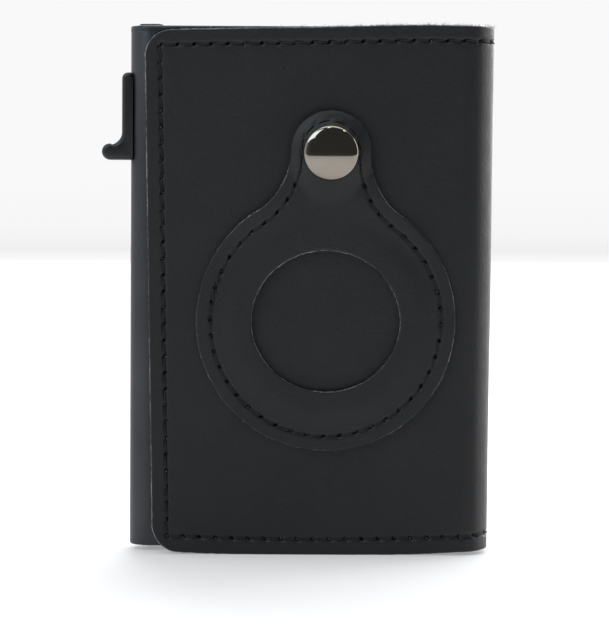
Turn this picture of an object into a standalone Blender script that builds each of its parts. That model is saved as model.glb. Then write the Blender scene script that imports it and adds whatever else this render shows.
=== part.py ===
"""Leather pop-up card wallet with an empty tracker pocket on its front cover. Blender 4.5, metres.

The wallet stands upright and shut. +Z is up, its front faces -Y, and the origin is under the
middle of its bounding box. The leather wraps a metal card case: back panel, spine and front cover.
"""

import math

import bmesh
import bpy
from mathutils import Matrix, Vector

MM = 0.001
GAP = 0.3 * MM  # between pieces that touch on the real wallet

# Overall places. Depths are counted from the outer face of the back leather.
HEIGHT = 100.3 * MM
BACK_Y = 12.6 * MM
FOLD_X = 37.15 * MM
FOLD_R = 6.0 * MM
COVER_DEPTH = 18.8 * MM
COVER_LEFT = -28.0 * MM
BACK_LEFT = -30.6 * MM
CORNER_R = 4.0 * MM
FRONT_Y = BACK_Y - COVER_DEPTH
HINGE_OFFSET = FOLD_R * math.pi / 4  # keeps the leather's length when a fold opens flat

# Layers.
LEATHER = 1.2 * MM
LINING = 0.5 * MM
BOARD = 0.8 * MM
PAD = 0.6 * MM

# Card case.
CASE_LEFT, CASE_RIGHT = -31.85 * MM, 31.65 * MM
CASE_BOTTOM, CASE_TOP = 0.9 * MM, 99.8 * MM
CASE_THICK = 9.4 * MM
CASE_DEPTH = 3.2 * MM  # its back face
CASE_WALL = 1.2 * MM
CASE_R = 4.0 * MM
RIB_X, RIB_T, RIB_H = -25.2 * MM, 0.8 * MM, 1.6 * MM
PLUG_FLANGE = 0.5 * MM
PLUG_TAB = ((-30.2 * MM, -25.6 * MM), 4.6 * MM, 0.4 * MM)  # its x, width and rise
PLUG_DEPTH = 1.9 * MM
CASE_BACK_Y = BACK_Y - CASE_DEPTH
CASE_FRONT_Y = CASE_BACK_Y - CASE_THICK
CASE_MID_Y = CASE_BACK_Y - CASE_THICK / 2
BRAKE = (44 * MM, 0.6 * MM, 12 * MM)  # felt strip
BRAKE_Z = 9 * MM

# Ejector.
TRAVEL = 20 * MM
SLOT_W = 3.0 * MM
NECK_W = 2.4 * MM
NECK_Z = (78 * MM, 88 * MM)
LEVER_Z = (74.9 * MM, 91.7 * MM)
LEVER_X = (-33.45 * MM, -30.4 * MM)
LEVER_TIP = -37.3 * MM
LEVER_NOSE_R, LEVER_HOLLOW_R = 1.6 * MM, 2.4 * MM
LEVER_W = 6.4 * MM
BLOCK_X = (-29.4 * MM, -26.0 * MM)
BLOCK_Z = (72 * MM, 97.4 * MM)
BLOCK_W, WEB_W = 5.4 * MM, 2.8 * MM
ARM_RIGHT = 29.6 * MM
STEPS, STEP_RISE, STEP_LOW = 5, 1.9 * MM, 88.1 * MM
SCREW_Z = (80.5 * MM, 85.5 * MM)
SCREW_R, SCREW_HEAD_R = 0.6 * MM, 1.05 * MM
SCREW_HEAD, SCREW_SINK, SCREW_GRIP = 0.4 * MM, 0.75 * MM, 2.4 * MM

# Closing magnets and their steel strip.
MAGNET_R, MAGNET_X = 5.0 * MM, -20.5 * MM
MAGNET_Z = (22 * MM, 78 * MM)
KEEPER = (12 * MM, 0.4 * MM, 76 * MM)

# Tracker pocket: a pear-shaped leather with a round window.
POCKET = Vector((5.7 * MM, 0, 44.5 * MM))
POCKET_R = 24.6 * MM
WINDOW_R = 14.0 * MM
NECK_TOP = Vector((6.5 * MM, 0, 76.9 * MM))
NECK_R = 7.7 * MM
NECK_FILLET = 13.5 * MM
POCKET_RISE = 1.0 * MM  # of the domed middle over the sewn edge
NECK_RISE = 2.7 * MM
SPLIT_Z = 52.8 * MM  # where the leather bends when the flap opens

# Snap fastener.
SNAP = Vector((6.5 * MM, 0, 76.3 * MM))
CAP_R, CAP_H, CAP_EDGE = 5.25 * MM, 1.9 * MM, 0.35 * MM
POST_R = 1.2 * MM
SOCKET_R, SOCKET_HOLE = 4.4 * MM, 2.1 * MM
STUD_R, STUD_HEAD_R = 4.2 * MM, 1.75 * MM

SEG = 40


def clear_scene():
    for obj in list(bpy.data.objects):
        bpy.data.objects.remove(obj, do_unlink=True)


def material(name, colour, roughness, metallic=0.0):
    mat = bpy.data.materials.new(name)
    mat.use_nodes = True
    shader = mat.node_tree.nodes["Principled BSDF"]
    shader.inputs["Base Color"].default_value = (*colour, 1)
    shader.inputs["Roughness"].default_value = roughness
    shader.inputs["Metallic"].default_value = metallic
    return mat


def add(name, bm, mat, origin=(0, 0, 0), parent=None):
    """Makes an object from world-space geometry, with its own origin, and frees the bmesh."""
    bmesh.ops.recalc_face_normals(bm, faces=bm.faces)
    bmesh.ops.translate(bm, verts=bm.verts, vec=-Vector(origin))
    mesh = bpy.data.meshes.new(name)
    bm.to_mesh(mesh)
    bm.free()
    mesh.materials.append(mat)
    mesh.shade_smooth()
    mesh.set_sharp_from_angle(angle=math.radians(32))
    obj = bpy.data.objects.new(name, mesh)
    bpy.context.scene.collection.objects.link(obj)
    obj.location = origin
    if parent:
        obj.parent = parent
        obj.location = Vector(origin) - parent.location
    return obj


def pivot(name, place):
    """An empty on a joint's axis, that the pieces of a moving body are parented to."""
    empty = bpy.data.objects.new(name, None)
    bpy.context.scene.collection.objects.link(empty)
    empty.empty_display_size = 5 * MM
    empty.location = place
    return empty


def combine(obj, operation, solids):
    """Cuts bmeshes from an object, or joins them to it. The operation is DIFFERENCE or UNION."""
    for bm in solids:
        bmesh.ops.recalc_face_normals(bm, faces=bm.faces)
        mesh = bpy.data.meshes.new(f"{obj.name}_helper_{len(obj.modifiers)}")
        bm.to_mesh(mesh)
        bm.free()
        helper = bpy.data.objects.new(mesh.name, mesh)
        bpy.context.scene.collection.objects.link(helper)
        helper.hide_render = True
        helper.display_type = "WIRE"
        boolean = obj.modifiers.new(mesh.name, "BOOLEAN")
        boolean.operation = operation
        boolean.solver = "EXACT"
        boolean.object = helper


def cut(obj, *solids):
    combine(obj, "DIFFERENCE", solids)


def join(obj, *solids):
    combine(obj, "UNION", solids)


def box(x, y, z):
    """A box between pairs of coordinates."""
    bm = bmesh.new()
    size = [abs(b - a) for a, b in (x, y, z)]
    middle = [(a + b) / 2 for a, b in (x, y, z)]
    place = Matrix.Translation(middle) @ Matrix.Diagonal((*size, 1))
    bmesh.ops.create_cube(bm, size=1, matrix=place)
    return bm


def cylinder(start, end, radius, segments=SEG):
    bm = bmesh.new()
    axis = Vector(end) - Vector(start)
    turn = Vector((0, 0, 1)).rotation_difference(axis).to_matrix().to_4x4()
    place = Matrix.Translation((Vector(start) + Vector(end)) / 2) @ turn
    bmesh.ops.create_cone(
        bm, cap_ends=True, segments=segments, radius1=radius, radius2=radius,
        depth=axis.length, matrix=place,
    )
    return bm


def turned(centre, profile, segments=SEG):
    """Turns (radius, y) points about the Y line through centre. Points on the axis become poles."""
    bm = bmesh.new()
    rings = []
    for radius, y in profile:
        if radius == 0:
            rings.append([bm.verts.new((centre.x, y, centre.z))])
            continue
        rings.append([
            bm.verts.new((
                centre.x + radius * math.cos(2 * math.pi * n / segments),
                y,
                centre.z + radius * math.sin(2 * math.pi * n / segments),
            ))
            for n in range(segments)
        ])
    closed = profile[0][0] != 0
    pairs = list(zip(rings, rings[1:] + rings[:1])) if closed else list(zip(rings, rings[1:]))
    for a, b in pairs:
        for n in range(segments):
            m = (n + 1) % segments
            corners = [a[n % len(a)], a[m % len(a)], b[m % len(b)], b[n % len(b)]]
            bm.faces.new(list(dict.fromkeys(corners)))
    return bm


def prism(outline, axis, low, high):
    """Extrudes a closed outline of two coordinates along the axis that they leave out."""
    bm = bmesh.new()
    put = {
        "x": lambda p, h: (h, p[0], p[1]),
        "y": lambda p, h: (p[0], h, p[1]),
        "z": lambda p, h: (p[0], p[1], h),
    }[axis]
    ends = [[bm.verts.new(put(p, h)) for p in outline] for h in (low, high)]
    count = len(outline)
    bm.faces.new(ends[0])
    bm.faces.new(ends[1])
    for n in range(count):
        m = (n + 1) % count
        bm.faces.new((ends[0][n], ends[0][m], ends[1][m], ends[1][n]))
    return bm


def arc(centre, radius, start, end, steps):
    """Points on an arc, from start to end in degrees."""
    found = []
    for n in range(steps + 1):
        angle = math.radians(start + (end - start) * n / steps)
        found.append((centre[0] + radius * math.cos(angle), centre[1] + radius * math.sin(angle)))
    return found


def rounded_rectangle(x0, x1, y0, y1, radius, steps=6):
    corners = (
        ((x1 - radius, y0 + radius), -90), ((x1 - radius, y1 - radius), 0),
        ((x0 + radius, y1 - radius), 90), ((x0 + radius, y0 + radius), 180),
    )
    return [p for centre, start in corners for p in arc(centre, radius, start, start + 90, steps)]


def depth(value):
    """The y of a depth counted from the back leather's outer face."""
    return BACK_Y - value


def wrap_layer(stations, offset, thickness, z_range, corner):
    """A sheet along the wrap's outer path. A station is ((x, y), outward normal, distance to free edge)."""
    bm = bmesh.new()
    columns = []
    for point, normal, edge in stations:
        drop = corner - math.sqrt(max(corner**2 - max(corner - edge, 0) ** 2, 0)) if corner else 0
        column = []
        for inset in (offset, offset + thickness):
            x, y = point[0] - normal[0] * inset, point[1] - normal[1] * inset
            column += [bm.verts.new((x, y, z_range[0] + drop)), bm.verts.new((x, y, z_range[1] - drop))]
        columns.append(column)
    for a, b in zip(columns, columns[1:]):
        for i, j in ((0, 1), (1, 3), (3, 2), (2, 0)):
            bm.faces.new((a[i], a[j], b[j], b[i]))
    for column in (columns[0], columns[-1]):
        bm.faces.new([column[i] for i in (0, 1, 3, 2)])
    return bm


def flat_stations(left, right, y, normal_y, corner):
    """Stations along a flat panel, from its free edge at the left to the right."""
    edges = [corner * (1 - math.cos(math.pi / 2 * n / 7)) for n in range(8)] if corner else [0]
    found = [((left + e, y), (0, normal_y), e) for e in edges]
    found.append(((right, y), (0, normal_y), right - left))
    return found


def fold_stations(centre, start, end, steps=6, corner=1.0):
    """Stations round a fold, from angle start to angle end in degrees."""
    found = []
    for n in range(steps + 1):
        angle = math.radians(start + (end - start) * n / steps)
        normal = (math.cos(angle), math.sin(angle))
        point = (centre[0] + FOLD_R * normal[0], centre[1] + FOLD_R * normal[1])
        found.append((point, normal, corner))
    return found


FOLD_BACK = (FOLD_X - FOLD_R, BACK_Y - FOLD_R)
FOLD_FRONT = (FOLD_X - FOLD_R, FRONT_Y + FOLD_R)
HINGE_BACK = (FOLD_BACK[0] + HINGE_OFFSET, FOLD_BACK[1] + HINGE_OFFSET, 0)
HINGE_FRONT = (FOLD_FRONT[0] + HINGE_OFFSET, FOLD_FRONT[1] - HINGE_OFFSET, 0)
SPLIT_DEG = math.degrees(GAP / 2 / FOLD_R)


def make_back(mats):
    stations = flat_stations(BACK_LEFT, FOLD_BACK[0] - 0.2 * MM, BACK_Y, 1, CORNER_R)
    stations += fold_stations(FOLD_BACK, 90, 45 + SPLIT_DEG)
    add("back_leather", wrap_layer(stations, 0, LEATHER, (0, HEIGHT), CORNER_R), mats["leather"])
    inset = 1.2 * MM
    flat = flat_stations(BACK_LEFT + inset, FOLD_BACK[0], BACK_Y, 1, CORNER_R - inset)
    layer = wrap_layer(flat, LEATHER + GAP, LINING, (inset, HEIGHT - inset), CORNER_R - inset)
    add("back_lining", layer, mats["lining"])
    pad_y = depth(LEATHER + LINING + 2 * GAP)
    pad_y = (pad_y - 0.3 * MM, pad_y - 0.3 * MM - PAD)
    outline = rounded_rectangle(CASE_LEFT + 5 * MM, CASE_RIGHT - 5 * MM, 6 * MM, 95 * MM, 2 * MM)
    add("case_pad", prism(outline, "y", *pad_y), mats["pad"])


def case_outline(inset, steps=6):
    """The case's section, at an inset from its outside."""
    return rounded_rectangle(
        CASE_LEFT + inset, CASE_RIGHT - inset, CASE_FRONT_Y + inset, CASE_BACK_Y - inset,
        CASE_R - inset, steps,
    )


def case_bore():
    """The bore's section: the case's inside, narrowed where a rib stands on each wall."""
    inside = case_outline(CASE_WALL)
    front, back = CASE_FRONT_Y + CASE_WALL, CASE_BACK_Y - CASE_WALL
    left, right = RIB_X, RIB_X + RIB_T
    front_rib = [(left, front), (left, front + RIB_H), (right, front + RIB_H), (right, front)]
    back_rib = [(right, back), (right, back - RIB_H), (left, back - RIB_H), (left, back)]
    middle = (CASE_LEFT + CASE_RIGHT) / 2
    lower_right = [p for p in inside if p[0] > middle and p[1] < CASE_MID_Y]
    upper_right = [p for p in inside if p[0] > middle and p[1] > CASE_MID_Y]
    upper_left = [p for p in inside if p[0] < middle and p[1] > CASE_MID_Y]
    lower_left = [p for p in inside if p[0] < middle and p[1] < CASE_MID_Y]
    return lower_right + upper_right + back_rib + upper_left + lower_left + front_rib


def make_case(mats):
    shell = add("case_shell", prism(case_outline(0), "z", CASE_BOTTOM, CASE_TOP), mats["metal"])
    bore = prism(case_bore(), "z", CASE_BOTTOM - MM, CASE_TOP + MM)
    slot_low = NECK_Z[0] - TRAVEL - 0.6 * MM
    slot_high = NECK_Z[1] + 0.6 * MM
    half = SLOT_W / 2
    slot_outline = (
        arc((CASE_MID_Y, slot_high - half), half, 0, 180, 8)
        + arc((CASE_MID_Y, slot_low + half), half, 180, 360, 8)
    )
    slot = prism(slot_outline, "x", CASE_LEFT - MM, CASE_LEFT + CASE_WALL + MM)
    cut(shell, bore, slot)
    for side, y in (("front", CASE_FRONT_Y + CASE_WALL + GAP), ("back", CASE_BACK_Y - CASE_WALL - GAP)):
        inward = 1 if side == "front" else -1
        x_middle = (RIB_X + RIB_T + CASE_RIGHT - CASE_WALL) / 2
        strip = box(
            (x_middle - BRAKE[0] / 2, x_middle + BRAKE[0] / 2), (y, y + inward * BRAKE[1]),
            (BRAKE_Z, BRAKE_Z + BRAKE[2]),
        )
        add(f"card_brake_{side}", strip, mats["felt"])


def make_plug(mats):
    """The moulded plug that shuts the case's top: a flange with a raised tab, and a tongue in the bore."""
    flange_z = (CASE_TOP + GAP, CASE_TOP + GAP + PLUG_FLANGE)
    plug = add("end_plug", prism(case_outline(0.15 * MM), "z", *flange_z), mats["plastic"])
    middle_z = sum(flange_z) / 2
    tongue = prism(case_outline(CASE_WALL + GAP), "z", CASE_TOP - PLUG_DEPTH, middle_z)
    tab_x, tab_w, tab_rise = PLUG_TAB
    tab_outline = rounded_rectangle(*tab_x, CASE_MID_Y - tab_w / 2, CASE_MID_Y + tab_w / 2, 1.5 * MM)
    tab = prism(tab_outline, "z", middle_z, flange_z[1] + tab_rise)
    join(plug, tongue, tab)
    x = (RIB_X - GAP, RIB_X + RIB_T + GAP)
    z = (CASE_TOP - PLUG_DEPTH - MM, flange_z[0])
    reach = CASE_WALL + RIB_H + GAP
    front = box(x, (CASE_FRONT_Y, CASE_FRONT_Y + reach), z)
    back = box(x, (CASE_BACK_Y - reach, CASE_BACK_Y), z)
    cut(plug, front, back)


def make_keeper(mats):
    y = CASE_FRONT_Y - GAP
    x = (MAGNET_X - KEEPER[0] / 2, MAGNET_X + KEEPER[0] / 2)
    middle = sum(MAGNET_Z) / 2
    outline = rounded_rectangle(*x, middle - KEEPER[2] / 2, middle + KEEPER[2] / 2, 2 * MM)
    add("keeper_plate", prism(outline, "y", y, y - KEEPER[1]), mats["steel"])


def lever_outline():
    """The lever from the front: a stem, a hollow for the thumb and a blunt nose that it pushes down."""
    outer, inner = LEVER_X
    low, high = LEVER_Z
    cap = 1.2 * MM
    nose = (LEVER_TIP + LEVER_NOSE_R, low + LEVER_NOSE_R)
    hollow_x = outer - LEVER_HOLLOW_R
    hollow_z = nose[1] + LEVER_NOSE_R + LEVER_HOLLOW_R - 0.25 * MM
    outline = [(inner, low), (inner, high)]
    outline += arc((outer + cap, high - cap), cap, 90, 180, 5)
    outline += arc((hollow_x, hollow_z), LEVER_HOLLOW_R, 0, -78, 6)
    return outline + arc(nose, LEVER_NOSE_R, 90, 270, 8)


def make_ejector(mats, slide):
    """The lever hugs the case's round side, and two screws through the slot hold it to the pusher."""
    lever_y = (CASE_MID_Y - LEVER_W / 2, CASE_MID_Y + LEVER_W / 2)
    lever = add("thumb_lever", prism(lever_outline(), "y", *lever_y), mats["plastic"], slide.location, slide)
    neck_y = (CASE_MID_Y - NECK_W / 2, CASE_MID_Y + NECK_W / 2)
    neck_x = (CASE_LEFT - 2 * GAP, BLOCK_X[0] - GAP)
    cut(lever, prism(case_outline(-GAP, 12), "z", CASE_BOTTOM, CASE_TOP))
    join(lever, box(neck_x, neck_y, NECK_Z))
    hole_x = (LEVER_X[0] - MM, BLOCK_X[0] + MM)
    for z in SCREW_Z:
        start = (hole_x[0], CASE_MID_Y, z)
        hole = cylinder(start, (hole_x[1], CASE_MID_Y, z), SCREW_R + GAP, 16)
        sink = cylinder(start, (LEVER_X[0] + SCREW_SINK, CASE_MID_Y, z), SCREW_HEAD_R + GAP, 20)
        cut(lever, hole, sink)
    make_pusher(mats, slide)
    for name, z in zip(("lever_screw_lower", "lever_screw_upper"), SCREW_Z):
        head = LEVER_X[0] + 0.05 * MM
        shank = head + SCREW_HEAD
        tip = BLOCK_X[0] + SCREW_GRIP
        profile = [(0, head), (SCREW_HEAD_R, head), (SCREW_HEAD_R, shank)]
        profile += [(SCREW_R, shank), (SCREW_R, tip), (0, tip)]
        screw = turned(Vector((0, 0, 0)), profile, 16)
        along_x = Matrix(((0, 1, 0, 0), (1, 0, 0, 0), (0, 0, 1, 0), (0, 0, 0, 1)))
        bmesh.ops.transform(screw, matrix=Matrix.Translation((0, CASE_MID_Y, z)) @ along_x, verts=screw.verts)
        add(name, screw, mats["steel"], slide.location, slide)


def make_pusher(mats, slide):
    """The stepped ejector: a block in the side channel, and an arm whose steps meet one card each."""
    half = BLOCK_W / 2
    block = box(BLOCK_X, (CASE_MID_Y - half, CASE_MID_Y + half), BLOCK_Z)
    pusher = add("step_pusher", block, mats["nylon"], slide.location, slide)
    step_w = BLOCK_W / STEPS
    stairs = [(CASE_MID_Y - half, BLOCK_Z[1])]
    for n in range(STEPS):
        low = STEP_LOW + STEP_RISE * n
        y = CASE_MID_Y - half + step_w * n
        stairs += [(y, low), (y + step_w, low)]
    stairs.append((CASE_MID_Y + half, BLOCK_Z[1]))
    arm = prism(stairs, "x", RIB_X + RIB_T + GAP, ARM_RIGHT)
    web = box(
        (BLOCK_X[1] - 0.5 * MM, RIB_X + RIB_T + 1.2 * MM), (CASE_MID_Y - WEB_W / 2, CASE_MID_Y + WEB_W / 2),
        (BLOCK_Z[1] - 2.4 * MM, BLOCK_Z[1] - 0.2 * MM),
    )
    join(pusher, arm, web)
    for z in SCREW_Z:
        start = (BLOCK_X[0] - MM, CASE_MID_Y, z)
        end = (BLOCK_X[0] + SCREW_GRIP + GAP, CASE_MID_Y, z)
        cut(pusher, cylinder(start, end, SCREW_R + GAP, 16))


def make_spine(mats, spine):
    stations = fold_stations(FOLD_BACK, 45 - SPLIT_DEG, 0) + fold_stations(FOLD_FRONT, 0, -45 + SPLIT_DEG)
    leather = wrap_layer(stations, 0, LEATHER, (0, HEIGHT), 0)
    add("spine_leather", leather, mats["leather"], spine.location, spine)
    inset = 1.2 * MM
    layer = wrap_layer(stations, LEATHER + GAP, LINING, (inset, HEIGHT - inset), 0)
    add("spine_lining", layer, mats["lining"], spine.location, spine)


def make_cover(mats, cover):
    stations = flat_stations(COVER_LEFT, FOLD_FRONT[0] - 0.2 * MM, FRONT_Y, -1, CORNER_R)
    stations += fold_stations(FOLD_FRONT, -90, -45 - SPLIT_DEG)
    leather = add(
        "front_leather", wrap_layer(stations, 0, LEATHER, (0, HEIGHT), CORNER_R), mats["leather"],
        cover.location, cover,
    )
    snap = (SNAP.x, SNAP.z)
    through = [Vector((snap[0], FRONT_Y - MM, snap[1])), Vector((snap[0], FRONT_Y + LEATHER + MM, snap[1]))]
    cut(leather, cylinder(*through, POST_R + GAP, 20))

    inset = 1.2 * MM
    left, right = COVER_LEFT + inset, FOLD_FRONT[0] - 0.6 * MM
    board_y = FRONT_Y + LEATHER + GAP
    outline = rounded_rectangle(left, right, inset, HEIGHT - inset, CORNER_R - inset)
    stiffener = prism(outline, "y", board_y, board_y + BOARD)
    board = add("front_board", stiffener, mats["board"], cover.location, cover)
    lining_y = board_y + BOARD + GAP
    lining = prism(outline, "y", lining_y, lining_y + LINING)
    add("front_lining", lining, mats["lining"], cover.location, cover)

    holes = [(MAGNET_X, z, MAGNET_R + GAP) for z in MAGNET_Z] + [(*snap, STUD_R)]
    for x, z, r in holes:
        cut(board, cylinder((x, board_y - MM, z), (x, board_y + BOARD + MM, z), r, 32))
    for name, z in zip(("closing_magnet_lower", "closing_magnet_upper"), MAGNET_Z):
        disc = cylinder((MAGNET_X, board_y, z), (MAGNET_X, board_y + BOARD, z), MAGNET_R, 32)
        add(name, disc, mats["steel"], cover.location, cover)

    pocket_y = lining_y + LINING + GAP
    pocket_t = 0.6 * MM
    steps = (("card_pocket_upper", 80 * MM, 0), ("card_pocket_lower", 64 * MM, pocket_t + GAP))
    for name, top, drop in steps:
        outline = rounded_rectangle(left + 1.5 * MM, right - 3 * MM, 4 * MM, top, 2 * MM)
        panel = prism(outline, "y", pocket_y + drop, pocket_y + drop + pocket_t)
        add(name, panel, mats["lining"], cover.location, cover)


def pear_edge(angle):
    """The pear outline's distance from the pocket's centre, at an angle from straight up in radians."""
    across, up = math.sin(angle), math.cos(angle)
    to_neck = NECK_TOP - POCKET
    reach = POCKET_R
    side = 1 if across > 0 else -1
    fillet_x = to_neck.x + side * (NECK_R + NECK_FILLET)
    fillet_z = math.sqrt((POCKET_R + NECK_FILLET) ** 2 - fillet_x**2)
    fillet_end = math.atan2(abs(fillet_x), fillet_z)
    neck_start = math.atan2(abs(to_neck.x + side * NECK_R), fillet_z)
    if up > 0 and abs(angle) < neck_start:
        along = across * to_neck.x + up * to_neck.z
        away = to_neck.x**2 + to_neck.z**2 - NECK_R**2
        reach = along + math.sqrt(max(along**2 - away, 0))
    elif up > 0 and abs(angle) < fillet_end:
        along = across * fillet_x + up * fillet_z
        away = fillet_x**2 + fillet_z**2 - NECK_FILLET**2
        reach = along - math.sqrt(max(along**2 - away, 0))
    return reach


def smooth(t):
    t = min(max(t, 0), 1)
    return t * t * (3 - 2 * t)


def pear_rise(x, z):
    """How far the pear's leather stands over its sewn edge."""
    from_centre = math.hypot(x - POCKET.x, z - POCKET.z)
    dome = POCKET_RISE * smooth((POCKET_R - 2.4 * MM - from_centre) / (5 * MM))
    free = smooth((z - SPLIT_Z) / (12 * MM))
    neck = NECK_RISE * free
    return max(dome, neck)


def pear_solid(inner, back, front, step=5.0):
    """A ring from the window to the pear outline, bent to the dome, between two depths over the cover."""
    bm = bmesh.new()
    rings = 6
    angles = [math.radians(-180 + step * n) for n in range(round(360 / step))]
    grid = []
    for angle in angles:
        limit = pear_edge(angle)
        column = []
        for n in range(rings + 1):
            reach = inner + (limit - inner) * n / rings
            x = POCKET.x + reach * math.sin(angle)
            z = POCKET.z + reach * math.cos(angle)
            rise = pear_rise(x, z)
            column.append((
                bm.verts.new((x, FRONT_Y - back - rise, z)),
                bm.verts.new((x, FRONT_Y - front - rise, z)),
            ))
        grid.append(column)
    for a, b in zip(grid, grid[1:] + grid[:1]):
        for n in range(rings):
            bm.faces.new((a[n][0], a[n + 1][0], b[n + 1][0], b[n][0]))
            bm.faces.new((a[n][1], b[n][1], b[n + 1][1], a[n + 1][1]))
        for n in (0, rings):
            bm.faces.new((a[n][0], b[n][0], b[n][1], a[n][1]))
    return bm


def make_pocket(mats, cover, flap):
    """The pear's leather, in two solids on either side of the line that it bends along."""
    wide = 60 * MM
    y = (FRONT_Y - 12 * MM, FRONT_Y + MM)
    x = (POCKET.x - wide, POCKET.x + wide)
    sewn = pear_solid(WINDOW_R, GAP, GAP + LEATHER)
    lower = add("tracker_pocket", sewn, mats["leather"], cover.location, cover)
    cut(lower, box(x, y, (SPLIT_Z - GAP / 2, 120 * MM)))
    free = pear_solid(WINDOW_R, GAP, GAP + LEATHER)
    upper = add("pocket_flap", free, mats["leather"], flap.location, flap)
    hole = cylinder((SNAP.x, y[0], SNAP.z), (SNAP.x, y[1], SNAP.z), POST_R + GAP, 20)
    cut(upper, box(x, y, (-MM, SPLIT_Z + GAP / 2)), hole)


def make_snap(mats, cover, flap):
    flap_front = FRONT_Y - GAP - LEATHER - NECK_RISE
    flap_back = flap_front + LEATHER
    patch_y = (flap_back + GAP, flap_back + GAP + LINING)
    patch = cylinder((SNAP.x, patch_y[0], SNAP.z), (SNAP.x, patch_y[1], SNAP.z), NECK_R - 1.2 * MM, 36)
    patch_obj = add("flap_patch", patch, mats["lining"], flap.location, flap)
    through = cylinder((SNAP.x, patch_y[0] - MM, SNAP.z), (SNAP.x, patch_y[1] + MM, SNAP.z), POST_R + GAP, 20)
    cut(patch_obj, through)

    rim = flap_front - GAP
    dome = [
        (CAP_R * math.cos(a), rim - CAP_EDGE - (CAP_H - CAP_EDGE) * math.sin(a))
        for a in (math.radians(90 * n / 8) for n in range(8))
    ]
    post_end = patch_y[1] - 0.1 * MM
    profile = [(0, rim - CAP_H)] + dome[::-1]
    profile += [(CAP_R, rim), (POST_R, rim), (POST_R, post_end), (0, post_end)]
    add("snap_cap", turned(SNAP, profile, 48), mats["chrome"], flap.location, flap)

    socket = (patch_y[1] + GAP, patch_y[1] + GAP + 0.6 * MM)
    ring = [
        (SOCKET_HOLE, socket[0]), (SOCKET_R, socket[0]), (SOCKET_R, socket[1] - 0.2 * MM),
        (3.2 * MM, socket[1]), (SOCKET_HOLE, socket[1]),
    ]
    add("snap_socket", turned(SNAP, ring), mats["chrome"], flap.location, flap)

    flange = (FRONT_Y - GAP, FRONT_Y - GAP - 0.5 * MM)
    top = socket[0] + 0.05 * MM
    bore = POST_R - 0.2 * MM + GAP
    stud = [
        (bore, flange[0]), (STUD_R, flange[0]), (STUD_R, flange[1]), (1.6 * MM, flange[1]),
        (STUD_HEAD_R, (flange[1] + top) / 2), (STUD_HEAD_R - 0.15 * MM, top), (bore, top),
    ]
    add("snap_stud", turned(SNAP, stud), mats["chrome"], cover.location, cover)
    post_y = FRONT_Y + LEATHER + GAP
    post = [
        (0, post_y + 0.45 * MM), (STUD_R - 2 * GAP, post_y + 0.45 * MM), (STUD_R - 2 * GAP, post_y),
        (POST_R - 0.2 * MM, post_y), (POST_R - 0.2 * MM, flange[1]), (0, flange[1]),
    ]
    add("stud_post", turned(SNAP, post), mats["steel"], cover.location, cover)


def main():
    clear_scene()
    mats = {
        "leather": material("black_leather", (0.012, 0.012, 0.013), 0.45),
        "lining": material("black_lining", (0.014, 0.014, 0.015), 0.8),
        "board": material("stiffener_board", (0.25, 0.2, 0.15), 0.8),
        "pad": material("adhesive_pad", (0.05, 0.05, 0.05), 0.7),
        "metal": material("black_anodised_metal", (0.02, 0.022, 0.025), 0.38, 0.9),
        "plastic": material("black_plastic", (0.012, 0.012, 0.012), 0.35),
        "nylon": material("dark_nylon", (0.03, 0.03, 0.03), 0.5),
        "felt": material("grey_felt", (0.1, 0.1, 0.1), 0.95),
        "steel": material("steel", (0.5, 0.5, 0.5), 0.35, 1.0),
        "chrome": material("gunmetal", (0.45, 0.44, 0.43), 0.12, 1.0),
    }
    spine = pivot("spine_axis", HINGE_BACK)
    cover = pivot("cover_axis", HINGE_FRONT)
    plateau = FRONT_Y - GAP - LEATHER - POCKET_RISE
    flap = pivot("flap_axis", (POCKET.x, plateau - 0.1 * MM, SPLIT_Z))
    slide = pivot("ejector_axis", (CASE_LEFT, CASE_MID_Y, sum(NECK_Z) / 2))
    make_back(mats)
    make_case(mats)
    make_plug(mats)
    make_keeper(mats)
    make_ejector(mats, slide)
    make_spine(mats, spine)
    make_cover(mats, cover)
    make_pocket(mats, cover, flap)
    make_snap(mats, cover, flap)


main()
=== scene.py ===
"""Looks of the leather card wallet with a tracker pocket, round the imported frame.

Metres, +Z up, front at -Y. Sizes in millimetres are written as a number times MM.
"""

import math
import random

import bmesh
import bpy
import numpy as np
from mathutils import Matrix, Vector, noise


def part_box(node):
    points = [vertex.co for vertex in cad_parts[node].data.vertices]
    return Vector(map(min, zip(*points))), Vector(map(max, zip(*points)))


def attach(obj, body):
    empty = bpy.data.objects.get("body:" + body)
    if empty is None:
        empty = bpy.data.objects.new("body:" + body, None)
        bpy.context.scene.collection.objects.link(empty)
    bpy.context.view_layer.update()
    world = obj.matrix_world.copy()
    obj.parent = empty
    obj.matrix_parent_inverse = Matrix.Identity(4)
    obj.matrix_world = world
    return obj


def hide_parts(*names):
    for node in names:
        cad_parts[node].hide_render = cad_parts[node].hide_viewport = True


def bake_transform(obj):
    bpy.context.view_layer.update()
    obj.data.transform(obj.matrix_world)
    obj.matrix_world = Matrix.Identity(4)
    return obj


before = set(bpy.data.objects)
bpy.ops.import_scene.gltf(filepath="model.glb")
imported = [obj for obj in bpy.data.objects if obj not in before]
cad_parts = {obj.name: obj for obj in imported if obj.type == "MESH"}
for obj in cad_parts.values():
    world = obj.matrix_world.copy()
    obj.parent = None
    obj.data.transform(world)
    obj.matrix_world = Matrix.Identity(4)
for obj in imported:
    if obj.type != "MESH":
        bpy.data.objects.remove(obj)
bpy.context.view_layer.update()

MM = 0.001
DICE = random.Random(7)

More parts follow.
